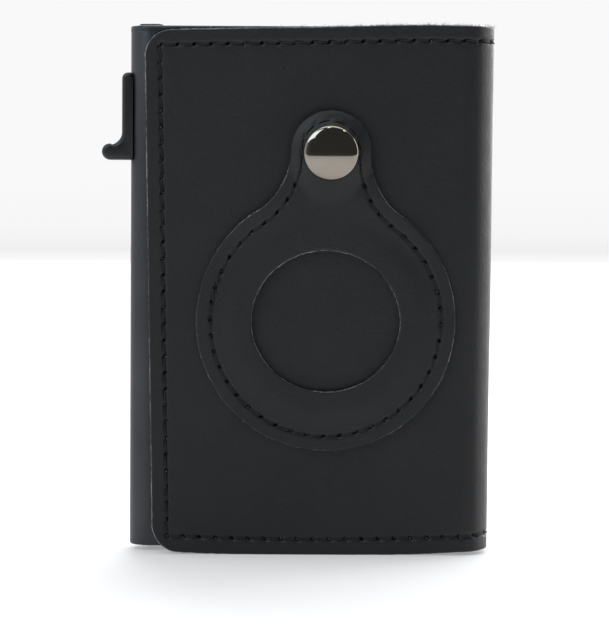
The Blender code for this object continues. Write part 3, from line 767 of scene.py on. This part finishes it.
def panel_stitches(panel, name, mats):
    bm = bmesh.new()
    corner_s = panel.length - STITCH_INSET

    def along_edge(top):
        def place(t):
            low, high = panel.ends(t, CORNER_STITCH_R)
            z = high - STITCH_INSET if top else low + STITCH_INSET
            point, normal = panel.place(t, z, grooved=False)
            return point, normal, Vector((0, 0, 1))
        return place

    side_low, side_high = panel.ends(corner_s, CORNER_STITCH_R)
    side_length = side_high - side_low - 2 * STITCH_INSET

    def down_side(t):
        point, normal = panel.place(corner_s, side_high - STITCH_INSET - t, grooved=False)
        return point, normal, Vector((1, 0, 0))

    stitch_row(bm, along_edge(True), corner_s)
    stitch_row(bm, down_side, side_length)
    stitch_row(bm, along_edge(False), corner_s)
    bend_with(panel, finish_mesh(name, bm, [mats["thread"]], 60))
    # Pale flecks at the holes: fibre scraps, and painted highlight for the thread's glints.
    glint_flecks = bmesh.new()
    add_glint_flecks(glint_flecks, along_edge(True), corner_s, 0.35)
    add_glint_flecks(glint_flecks, along_edge(False), corner_s, 0.8)
    add_glint_flecks(glint_flecks, down_side, side_length)
    bend_with(panel, finish_mesh(name.replace("stitching", "glint_flecks"), glint_flecks, [mats["fibre"]], 80))


# --- edge fibres

def add_fibre(bm, root, direction, length, radius, curl):
    """A thin tapering hair that curls to one side."""
    sides, count = 3, 5
    side = direction.orthogonal().normalized()
    other = direction.cross(side)
    rings = []
    for n in range(count):
        t = n / (count - 1)
        centre = root + direction * (length * t) + curl * (length * t * t)
        r = radius * (1 - 0.8 * t)
        rings.append([
            bm.verts.new(centre + (side * math.cos(a) + other * math.sin(a)) * r)
            for a in (2 * math.pi * k / sides for k in range(sides))
        ])
    loft(bm, rings)


def loose_fibre(bm, surface, shift, leans, curls, curl_size, lengths, radii, share=1.0):
    """A hair from somewhere in the leather's thickness, under a (point, normal) of its outer face."""
    point, normal = surface
    root = point - normal * DICE.uniform(0.1, 1.1) * MM + Vector(shift)
    lean = draw(*leans).normalized()
    curl = draw(*curls) * curl_size
    add_fibre(bm, root, lean, DICE.uniform(*lengths) * share * MM, DICE.uniform(*radii) * MM, curl)


def make_fuzz(mats):
    """Loose fibres on the cover: tufts and short hairs along its top, and hairs down its free edge."""
    bm = bmesh.new()
    straight = FRONT.length - CORNER_R
    for _ in range(110):
        middle = DICE.triangular(0, straight, FOLD_FLAT + 20 * MM)
        tall = DICE.uniform(0.4, 1.0)
        for _ in range(DICE.randint(5, 18)):
            s = min(max(middle + DICE.gauss(0, 0.8 * MM), 0), straight)
            loose_fibre(
                bm, FRONT.place(s, FRONT.ends(s)[1], grooved=False), (0, 0, -0.12 * MM),
                ((-0.9, 0.9), (-0.5, 0.5), (0.25, 1)), ((-1, 1), (-0.5, 0.5), (-0.6, 0.3)), 0.7,
                (0.35, 0.95), (0.025, 0.06), tall,
            )
    for _ in range(420):
        s = DICE.uniform(0, FRONT.length - 2 * MM)
        loose_fibre(
            bm, FRONT.place(s, FRONT.ends(s)[1], grooved=False), (0, 0, -0.1 * MM),
            ((-1, 1), (-0.8, 0.3), (0.1, 0.8)), ((-1, 1), 0, (-0.6, 0)), 0.6, (0.2, 0.5), (0.025, 0.05),
        )
    for _ in range(260):
        z = DICE.uniform(CORNER_R, HEIGHT - CORNER_R)
        loose_fibre(
            bm, FRONT.place(FRONT.length, z, grooved=False), (0.05 * MM, 0, 0),
            ((-0.3, -1), (-0.5, 0.5), (-0.9, 0.9)), ((-0.3, 0.5), (-0.5, 0.5), (-1, 1)), 0.6,
            (0.12, 0.35), (0.02, 0.035),
        )
    bend_with(FRONT, finish_mesh("cover_edge_fibres", bm, [mats["fibre"]], 80))


# --- tracker pocket

def pear_outline(inset=0.0, neck_inset=0.0, count=64):
    """The pear's outline, inset from its cut edge: (x, z) points in order, starting at the neck's top."""
    big, small, fillet = POCKET_R - inset, NECK_R - neck_inset, NECK_FILLET + inset
    points = []
    for side in (1, -1):
        fx = SNAP_X + side * (small + fillet)
        fz = POCKET_Z + math.sqrt((big + fillet) ** 2 - (fx - POCKET_X) ** 2)
        tangent = math.degrees(math.atan2(fz - POCKET_Z, (fx - POCKET_X) * side))
        half = arc((SNAP_X, NECK_Z), small, 90, 0, count // 2)
        half.append((SNAP_X + small, min(fz, NECK_Z)))
        half += arc((SNAP_X + small + fillet, fz), fillet, 180, 180 + tangent, count // 2)
        centre_x = SNAP_X + side * (POCKET_X - SNAP_X)
        half += arc((centre_x, POCKET_Z), big, tangent, -90, count)
        if side < 0:
            half = [(2 * SNAP_X - x, z) for x, z in half]
        points.append(half)
    right, left = points
    line = right + left[::-1]
    kept = [line[0]]
    for p in line[1:]:
        if math.dist(p, kept[-1]) > 0.02 * MM:
            kept.append(p)
    return kept[:-1]


def walk(outline, count):
    """Points spaced evenly round a closed outline, and the outline's length."""
    line = outline + outline[:1]
    runs = [math.dist(a, b) for a, b in zip(line, line[1:])]
    total = sum(runs)
    found, here, index = [], 0.0, 0
    for n in range(count):
        goal = total * n / count
        while index < len(runs) - 1 and here + runs[index] < goal:
            here += runs[index]
            index += 1
        t = (goal - here) / max(runs[index], 1e-12)
        a, b = line[index], line[index + 1]
        found.append((a[0] + (b[0] - a[0]) * t, a[1] + (b[1] - a[1]) * t))
    return found, total


PEAR_STITCHES, PEAR_LENGTH = walk(pear_outline(PEAR_INSET, NECK_INSET), 2000)
PEAR_HOLES = round(PEAR_LENGTH / STITCH_PITCH)
PEAR_LINE = np.array(PEAR_STITCHES)


def pear_rise(x, z):
    """How far the pear stands over its sewn edge: a low dome, and a neck lifted by the snap under it."""
    from_centre = math.hypot(x - POCKET_X, z - POCKET_Z)
    from_snap = math.hypot(x - SNAP_X, z - SNAP_Z)
    dome = POCKET_RISE * smooth((POCKET_R - 3 * MM - from_centre) / (5 * MM))
    droop = 1 - 0.62 * smooth((from_snap - 4.3 * MM) / (4.4 * MM))
    neck = NECK_RISE * droop * smooth((z - SPLIT_Z) / (17 * MM))
    neck += 0.45 * MM * smooth((5.4 * MM - from_snap) / (1.6 * MM))
    both = math.log(math.exp(dome / MM * 3) + math.exp(neck / MM * 3)) - math.log(2)
    return both * MM / 3 + 0.02 * MM


def pear_sink(x, z):
    """How deep the pear's face is drawn in along its stitching, and at its holes."""
    away = np.hypot(PEAR_LINE[:, 0] - x, PEAR_LINE[:, 1] - z)
    index = int(away.argmin())
    across = float(away[index])
    deep = GROOVE_DEPTH * math.exp(-((across / GROOVE_W) ** 2))
    if across > 3 * HOLE_LONG:
        return deep
    ahead = PEAR_LINE[(index + 4) % len(PEAR_LINE)] - PEAR_LINE[index]
    if ahead[0] * (z - PEAR_LINE[index][1]) < ahead[1] * (x - PEAR_LINE[index][0]):
        across = -across
    pitch = PEAR_LENGTH / PEAR_HOLES
    along = (index / len(PEAR_LINE) * PEAR_LENGTH + pitch / 2) % pitch - pitch / 2
    near_snap = smooth((8 * MM - math.hypot(x - SNAP_X, z - SNAP_Z)) / (2 * MM))
    return deep + hole(along, across, 0.25) * (1 - 0.65 * near_snap)


def pear_face(x, z):
    """(point on the pear's outer face, its outward normal)."""
    reach = 0.1 * MM
    rise = pear_rise(x, z)
    slope_x = (pear_rise(x + reach, z) - rise) / reach
    slope_z = (pear_rise(x, z + reach) - rise) / reach
    normal = -Vector((slope_x, 1, slope_z)).normalized()
    return Vector((x, FRONT_Y - LEATHER - 0.08 * MM - rise, z)), normal


def ripple(height, x, z, scale, seed):
    """A smooth random wave of height metres. scale is in turns per metre."""
    return height * noise.noise(Vector((x * scale, z * scale, seed)))


def pear_columns():
    """The pear's grid: a column from the window's rim to the cut edge, for each point round the outline."""
    rim, _ = walk(pear_outline(RIM, RIM), 640)
    columns = []
    rings = steps(1.0, 0.09, 0.02, [(0, 0.03), (0.56, 1.0)])
    for x, z in rim:
        angle = math.atan2(x - POCKET_X, z - POCKET_Z)
        ragged = ripple(0.12 * MM, x, z, 260, 2) + ripple(0.1 * MM, x, z, 70, 8)
        x, z = x + ragged * math.sin(angle), z + ragged * math.cos(angle)
        cut = WINDOW_R + RIM + ripple(0.08 * MM, x, z, 120, 4)
        start = (POCKET_X + cut * math.sin(angle), POCKET_Z + WINDOW_SQUASH * cut * math.cos(angle))
        column = []
        for t in rings:
            px, pz = start[0] + (x - start[0]) * t, start[1] + (z - start[1]) * t
            point, normal = pear_face(px, pz)
            wave = ripple(0.05 * MM, px, pz, 90, 5)
            column.append((point + normal * (wave - pear_sink(px, pz)), normal))
        columns.append(column)
    return columns


def make_pear(mats):
    skins = [mats["leather"], mats["flesh"], mats["edge"], mats["side"], mats["shaded_edge"]]
    obj = thick_sheet("tracker_pocket_leather", pear_columns(), LEATHER, skins, ring=True, bulge=RIM)
    cut_away(obj, rivet_hole(FRONT_Y - 9 * MM, FRONT_Y - MM, mats))
    sharpen(obj, 75)
    # Painted shade: faces of the pear's outer cut edge, picked at random, take the darker copy of the edge
    # material, fewer of them towards the right and the top.
    for face in obj.data.polygons:
        x, z = face.center.x - POCKET_X, face.center.z - POCKET_Z
        lit_share = 0.45 + 0.4 * x / POCKET_R + 0.1 * z / POCKET_R
        if face.material_index == 2 and math.hypot(x, z) > WINDOW_R + 2 * MM and DICE.random() > lit_share:
            face.material_index = 4
    bend_flap(obj)
    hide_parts("tracker_pocket", "pocket_flap")


def bend_flap(obj):
    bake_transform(obj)


def pear_place(t):
    """A point at a distance t along the pear's stitching line, its normal and the sideways direction."""
    index = int(t / PEAR_LENGTH * len(PEAR_STITCHES)) % len(PEAR_STITCHES)
    x, z = PEAR_STITCHES[index]
    ahead_x, ahead_z = PEAR_STITCHES[(index + 4) % len(PEAR_STITCHES)]
    point, normal = pear_face(x, z)
    ahead = Vector((ahead_x - x, 0, ahead_z - z)).normalized()
    return point, normal, ahead.cross(Vector((0, 1, 0)))


def pear_stitches(mats):
    """The row round the pear, and the stitching that is gone over twice where the sewn part ends."""
    bm = bmesh.new()
    stitch_row(bm, pear_place, PEAR_LENGTH)
    for side, low, high in DOUBLED:
        doubled = [
            n * PEAR_LENGTH / len(PEAR_STITCHES) for n, (x, z) in enumerate(PEAR_STITCHES)
            if (x - POCKET_X) * side > 0 and low < z < high
        ]
        for shift in (-0.3 * MM, 0.28 * MM):

            def beside(t):
                point, normal, sideways = pear_place(doubled[0] + t)
                return point + sideways * shift, normal, sideways

            stitch_row(bm, beside, doubled[-1] - doubled[0], 1.3 * MM, 0.25 * MM, 0.22 * MM)
    bend_flap(finish_mesh("tracker_pocket_glint_stitching", bm, [mats["thread"]], 60))
    # Pale flecks at the holes: fibre scraps, and painted highlight for the thread's glints.
    glint_flecks = bmesh.new()
    add_glint_flecks(glint_flecks, pear_place, PEAR_LENGTH * (1 - 1 / PEAR_HOLES), 0.6)
    bend_flap(finish_mesh("tracker_pocket_glint_flecks", glint_flecks, [mats["fibre"]], 80))


# --- snap

def make_snap(mats):
    """The cap: a low dome that falls off quickly to a beaded rim, and a post through the flap."""
    radius = (CAP_HIGH.x - CAP_LOW.x) / 2
    post_r, bead = 1.2 * MM, 0.32 * MM
    profile = [(0, CAP_LOW.y)]
    for n in range(1, 19):
        r = (radius - 0.12 * MM) * n / 18
        share = r / radius
        profile.append((r, CAP_LOW.y + 0.8 * MM * share**2 + 0.3 * MM * share**20))
    for a in (math.radians(v) for v in (60, 90, 125, 160)):
        profile.append((radius - bead + bead * math.sin(a), CAP_RIM_Y - bead - bead * math.cos(a)))
    profile += [(post_r, CAP_RIM_Y), (post_r, CAP_HIGH.y), (0, CAP_HIGH.y)]
    cap = turned("snap_cap_dome", SNAP_X, SNAP_Z, profile, [mats["snap"]], 128, 50)
    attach(cap, "flap")
    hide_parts("snap_cap")


# --- card case

def case_section(inset):
    """The case's outline seen from above."""
    return rounded_rectangle(
        CASE_LOW.x + inset, CASE_HIGH.x - inset, CASE_LOW.y + inset, CASE_HIGH.y - inset, CASE_R - inset, 14,
    )


def make_case(mats):
    """A rounded tube with the lever's slot, and two ribs in it that keep the cards off the ejector."""
    finish = [mats["case"]]
    shell = prism("card_case", case_section(0.05 * MM), "z", CASE_LOW.z, CASE_HIGH.z, finish)
    bore = prism("bore", case_section(CASE_WALL), "z", CASE_LOW.z - MM, CASE_HIGH.z + MM, finish)
    outline = arc((CASE_MID_Y, SLOT_Z[1] - SLOT_R), SLOT_R, 0, 180, 16)
    outline += arc((CASE_MID_Y, SLOT_Z[0] + SLOT_R), SLOT_R, 180, 360, 16)
    slot = prism("slot", outline, "x", CASE_LOW.x - MM, CASE_LOW.x + CASE_WALL + MM, finish)
    cut_away(shell, bore)
    round_edges(shell, 0.5 * MM, 3, 60)
    cut_away(shell, slot)
    sharpen(shell, 50)
    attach(shell, "case_and_back")
    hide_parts("case_shell")
    sunk = 0.1 * MM
    for n, low in enumerate((CASE_LOW.y + CASE_WALL - sunk, CASE_HIGH.y - CASE_WALL - (RIB_H - sunk))):
        outline = [(RIB_X, low), (RIB_X + RIB_T, low), (RIB_X + RIB_T, low + RIB_H), (RIB_X, low + RIB_H)]
        rib = prism(f"case_rib_{n + 1}", outline, "z", CASE_LOW.z + 0.2 * MM, CASE_HIGH.z - 2.5 * MM, finish)
        round_edges(rib, 0.12 * MM)
        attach(rib, "case_and_back")


def make_plug(mats):
    """The moulded plug in the case's top: a flange, a raised tab on it, and a tongue in the bore."""
    top = PLUG_HIGH.z - TAB_RISE
    tab_outline = rounded_rectangle(*TAB_X, CASE_MID_Y - TAB_Y, CASE_MID_Y + TAB_Y, 1.5 * MM)
    pieces = (
        ("end_plug_cap", case_section(0.01 * MM), CASE_HIGH.z - 0.75 * MM, top, 0.45 * MM),
        ("end_plug_tab", tab_outline, top - 0.1 * MM, PLUG_HIGH.z, 0.25 * MM),
        ("end_plug_tongue", case_section(1.5 * MM), PLUG_LOW.z, CASE_HIGH.z + 0.1 * MM, 0.1 * MM),
    )
    for name, outline, low, high, bevel in pieces:
        finish = mats["plug" if name == "end_plug_tongue" else "case"]
        obj = prism(name, outline, "z", low, high, [finish])
        round_edges(obj, bevel, 3)
        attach(obj, "case_and_back")
        if name == "end_plug_cap":
            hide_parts("end_plug")


def lever_outline():
    """The lever seen from the front: a stem with a round top, a hollow for the thumb and a blunt nose."""
    low, high = LEVER_LOW.z, LEVER_HIGH.z
    outer = LEVER_LOW.x + 3.85 * MM
    nose = (LEVER_LOW.x + NOSE_R, low + NOSE_R)
    hollow = (outer - HOLLOW_R, nose[1] + NOSE_R + HOLLOW_R - 0.25 * MM)
    inner = CASE_LOW.x + 1.45 * MM
    seen = CASE_LOW.x + 0.6 * MM
    outline = [(inner, low), (inner, high - 1.1 * MM)]
    outline += arc((seen - SHOULDER_R, high - SHOULDER_R), SHOULDER_R, 0, 90, 8)
    outline += arc((outer + STEM_R, high - STEM_R), STEM_R, 90, 180, 14)
    outline += arc(hollow, HOLLOW_R, 0, -76, 16)
    return outline + arc(nose, NOSE_R, 86, 270, 22)


def make_lever(mats):
    """The lever's grip, hollowed to the case and sunk for its screws, and its neck through the slot."""
    finish, clear = [mats["plastic"]], 0.3 * MM
    lever = soft_prism("thumb_lever_grip", lever_outline(), LEVER_LOW.y, LEVER_HIGH.y, finish, 0.82 * MM)
    clearance = prism("clearance", case_section(-clear), "z", CASE_LOW.z, CASE_HIGH.z, finish)
    sinks = []
    for name in ("lever_screw_lower", "lever_screw_upper"):
        low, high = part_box(name)
        middle_z, radius = (low.z + high.z) / 2, (high.z - low.z) / 2 + clear
        outline = arc((CASE_MID_Y, middle_z), radius, 0, 345, 23)
        sinks.append(prism("sink", outline, "x", LEVER_LOW.x, LEVER_LOW.x + 4.6 * MM, finish))
    cut_away(lever, clearance, *sinks)
    sharpen(lever, 40)
    sides = CASE_MID_Y - LEVER_NECK_Y, CASE_MID_Y + LEVER_NECK_Y
    outline = rounded_rectangle(*sides, *LEVER_NECK_Z, 0.6 * MM, 4)
    neck = prism("thumb_lever_neck", outline, "x", CASE_LOW.x - 0.6 * MM, LEVER_HIGH.x, finish)
    for obj in (lever, neck):
        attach(obj, "ejector")
    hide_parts("thumb_lever")


# --- pieces kept from the frame

def dress_frame(mats):
    """Gives the nodes that keep their shape their materials."""
    finishes = {
        "case": ("keeper_plate",),
        "felt": ("card_brake_front", "card_brake_back"),
        "lining": ("card_pocket_upper", "card_pocket_lower", "flap_patch"),
        "nylon": ("step_pusher",),
        "pad": ("case_pad",),
        "snap": ("snap_stud", "snap_socket"),
        "steel": (
            "lever_screw_lower", "lever_screw_upper",
            "closing_magnet_lower", "closing_magnet_upper", "stud_post",
        ),
    }
    for finish, names in finishes.items():
        for name in names:
            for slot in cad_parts[name].material_slots:
                slot.material = mats[finish]


# --- studio

def area_light(name, place, target, size, power, colour=(1, 1, 1)):
    light = bpy.data.lights.new(name, "AREA")
    light.shape = "RECTANGLE"
    light.size, light.size_y = size
    light.energy = power
    light.color = colour
    obj = add_object(name, light)
    obj.location = place
    aim(obj, (Vector(target) - Vector(place)).to_track_quat("-Z", "Y"))


def soft_sun(name, towards, strength, width):
    """A distant light from a direction, as wide as a lit ceiling. Its width is in degrees."""
    light = bpy.data.lights.new(name, "SUN")
    light.energy = strength
    light.angle = math.radians(width)
    aim(add_object(name, light), Vector(towards).to_track_quat("Z", "Y"))


def make_floor():
    s = Shader("pale_floor", (0.46, 0.462, 0.465), 0.7, Specular_IOR_Level=0.2)
    s.out.inputs["Emission Color"].default_value = (1, 1, 1, 1)
    s.out.inputs["Emission Strength"].default_value = 0.31
    s.roughness_from(s.noise(0.05, 3), 0.65, 0.75)
    bm = bmesh.new()
    corners = ((-4, -1.2), (4, -1.2), (4, 2.3), (-4, 2.3))
    bm.faces.new([bm.verts.new((x, y, 0)) for x, y in corners])
    finish_mesh("floor", bm, [s.mat])


def make_world():
    """A pale wall behind, dim room in front. Reflections see the room; the camera sees only the wall."""
    world = bpy.data.worlds.new("studio")
    bpy.context.scene.world = world
    world.use_nodes = True
    tree = world.node_tree
    link = tree.links.new

    def node(kind, **inputs):
        made = tree.nodes.new(kind)
        for socket, value in inputs.items():
            made.inputs[socket.replace("_", " ")].default_value = value
        return made

    coords = node("ShaderNodeTexCoord")
    split = node("ShaderNodeSeparateXYZ")
    link(coords.outputs["Generated"], split.inputs["Vector"])
    room = node("ShaderNodeMapRange", From_Min=-0.75, From_Max=0.35, To_Min=0.072, To_Max=1.0)
    room.interpolation_type = "SMOOTHSTEP"
    towards = node("ShaderNodeVectorMath")
    towards.operation = "DOT_PRODUCT"
    towards.inputs[1].default_value = (-0.42, 1, 0)
    link(coords.outputs["Generated"], towards.inputs[0])
    link(towards.outputs["Value"], room.inputs["Value"])
    back = tree.nodes["Background"]
    back.inputs["Color"].default_value = (0.97, 0.985, 1, 1)
    link(room.outputs["Result"], back.inputs["Strength"])

    wall = node("ShaderNodeValToRGB")
    ramp = wall.color_ramp
    ramp.interpolation = "EASE"
    stops = ((0.0, 1.0), (0.07, 0.93), (0.16, 0.87), (0.22, 0.88), (0.3, 0.905), (0.457, 0.925), (1.0, 0.945))
    for place, grey in stops[1:-1]:
        ramp.elements.new(place).color = (grey, grey, grey, 1)
    ramp.elements[0].color = (1, 1, 1, 1)
    ramp.elements[-1].color = (0.945, 0.945, 0.945, 1)
    height = node("ShaderNodeMapRange", From_Min=-0.0245, From_Max=0.002)
    link(split.outputs["Z"], height.inputs["Value"])
    link(height.outputs["Result"], wall.inputs["Fac"])
    seen = node("ShaderNodeBackground")
    link(wall.outputs["Color"], seen.inputs["Color"])
    mix = node("ShaderNodeMixShader")
    ray = node("ShaderNodeLightPath")
    link(ray.outputs["Is Camera Ray"], mix.inputs["Fac"])
    link(back.outputs["Background"], mix.inputs[1])
    link(seen.outputs["Background"], mix.inputs[2])
    link(mix.outputs["Shader"], tree.nodes["World Output"].inputs["Surface"])


def make_studio():
    make_floor()
    make_world()
    bpy.context.scene.view_settings.view_transform = "Standard"
    soft_sun("window_back", (0.3, 0.95, 0.55), 3.8, 62)
    soft_sun("ceiling", (0.1, -0.05, 1.0), 0.95, 60)
    area_light("window_left", (-0.32, -0.4, 0.42), (0, 0, 0.05), (0.36, 0.28), 1.15, (0.74, 0.87, 1))
    area_light("panel_right", (0.85, 0.35, 0.25), (0, 0, 0.05), (0.8, 0.8), 6)
    for n, x in enumerate((-0.06, 0.5)):
        area_light(f"ceiling_lamp_{n + 1}", (x, -0.62, 0.9), (0, 0, 0.08), (0.1, 0.03), 0.14)


def make_camera():
    """In front of the wallet, level with its upper half and tilted down slightly."""
    camera = bpy.data.cameras.new("camera")
    camera.sensor_width = 36
    camera.lens = 180.54
    camera.clip_start, camera.clip_end = 0.01, 20
    obj = add_object("camera", camera)
    yaw, pitch, roll = math.radians(-0.368), math.radians(2.308), math.radians(0.306)
    distance = 0.6
    obj.location = (1.73 * MM + distance * math.sin(yaw), -distance * math.cos(yaw), 70.04 * MM)
    turn = Matrix.Rotation(yaw, 3, "Z") @ Matrix.Rotation(math.pi / 2 - pitch, 3, "X")
    turn = turn @ Matrix.Rotation(roll, 3, "Z")
    aim(obj, turn.to_quaternion())
    bpy.context.scene.camera = obj


def main():
    mats = make_materials()
    make_camera()
    make_studio()
    make_wrap(mats)
    make_wrap_lining(mats)
    panel_stitches(FRONT, "cover_stitching", mats)
    panel_stitches(BACK, "back_panel_stitching", mats)
    make_fuzz(mats)
    make_pear(mats)
    pear_stitches(mats)
    make_snap(mats)
    make_case(mats)
    make_plug(mats)
    make_lever(mats)
    dress_frame(mats)


main()
